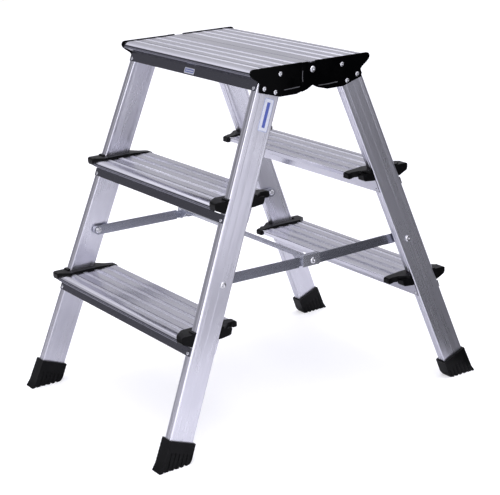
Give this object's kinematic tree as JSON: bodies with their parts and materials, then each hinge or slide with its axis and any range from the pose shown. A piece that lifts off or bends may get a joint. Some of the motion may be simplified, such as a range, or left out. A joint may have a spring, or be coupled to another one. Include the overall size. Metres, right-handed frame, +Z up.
{
  "type": "folding step ladder",
  "caption": "Double-sided folding aluminium step ladder with ribbed treads, top platform, black end caps, rubber feet and a folding steel spreader.",
  "frame": {"origin": "bottom centre, on the floor midway between the feet", "axes": "+Z up, X across the treads, Y from the front ladder (-Y) to the rear ladder (+Y)"},
  "size_m": [0.5328, 0.782, 0.7015],
  "materials": {
    "stile": "satin extruded",
    "tread": "satin extruded, grooved",
    "rubber": "moulded, fluted",
    "plastic": "fine grain",
    "hinge": "gloss black",
    "zinc": "zinc plated",
    "rivet": "bright"
  },
  "bodies": {
    "front_ladder": {"stile_front_right": "stile", "stile_front_left": "stile", "foot_front_right": "rubber", "foot_front_left": "rubber", "tread_front_low": "tread", "tread_front_mid": "tread", "platform_front": "tread", "cap_front_low_right": "plastic", "cap_front_low_left": "plastic", "cap_front_mid_right": "plastic", "cap_front_mid_left": "plastic", "hinge_plate_front_right": "hinge", "hinge_plate_front_left": "hinge", "hinge_pins": "rivet", "hinge_rivets_front": "rivet", "tread_rivets_front": "rivet", "pivot_rivets_front": "rivet", "spacers_front": "zinc"},
    "rear_ladder": {"stile_rear_right": "stile", "stile_rear_left": "stile", "foot_rear_right": "rubber", "foot_rear_left": "rubber", "tread_rear_low": "tread", "tread_rear_mid": "tread", "platform_rear": "tread", "cap_rear_low_right": "plastic", "cap_rear_low_left": "plastic", "cap_rear_mid_right": "plastic", "cap_rear_mid_left": "plastic", "hinge_plate_rear_right": "hinge", "hinge_plate_rear_left": "hinge", "hinge_rivets_rear": "rivet", "tread_rivets_rear": "rivet", "pivot_rivets_rear": "rivet", "spacers_rear": "zinc"},
    "spreader_front_unit": {"bar_front_right": "zinc", "bar_front_left": "zinc", "cross_member": "zinc", "mid_rivets": "rivet"},
    "spreader_rear_bars": {"bar_rear_right": "zinc", "bar_rear_left": "zinc", "bar_rivets_rear": "rivet"}
  },
  "joints": [
    {"name": "fold", "type": "hinge", "parent": "front_ladder", "child": "rear_ladder", "pos_m": [0, 0, 0.6866], "axis": [-1, 0, 0], "range_deg": [0, 34]},
    {"name": "spreader_front", "type": "hinge", "parent": "front_ladder", "child": "spreader_front_unit", "pos_m": [0, -0.2229, 0.3193], "axis": [1, 0, 0], "range_deg": [0, 45.67]},
    {"name": "spreader_rear", "type": "hinge", "parent": "spreader_front_unit", "child": "spreader_rear_bars", "pos_m": [0, 0, 0.3158], "axis": [-1, 0, 0], "range_deg": [0, 125.25]}
  ],
  "couplings": [
    {"joint": "spreader_front", "follows": "fold", "ratio": 1.3404},
    {"joint": "spreader_rear", "follows": "fold", "ratio": 3.6809}
  ]
}
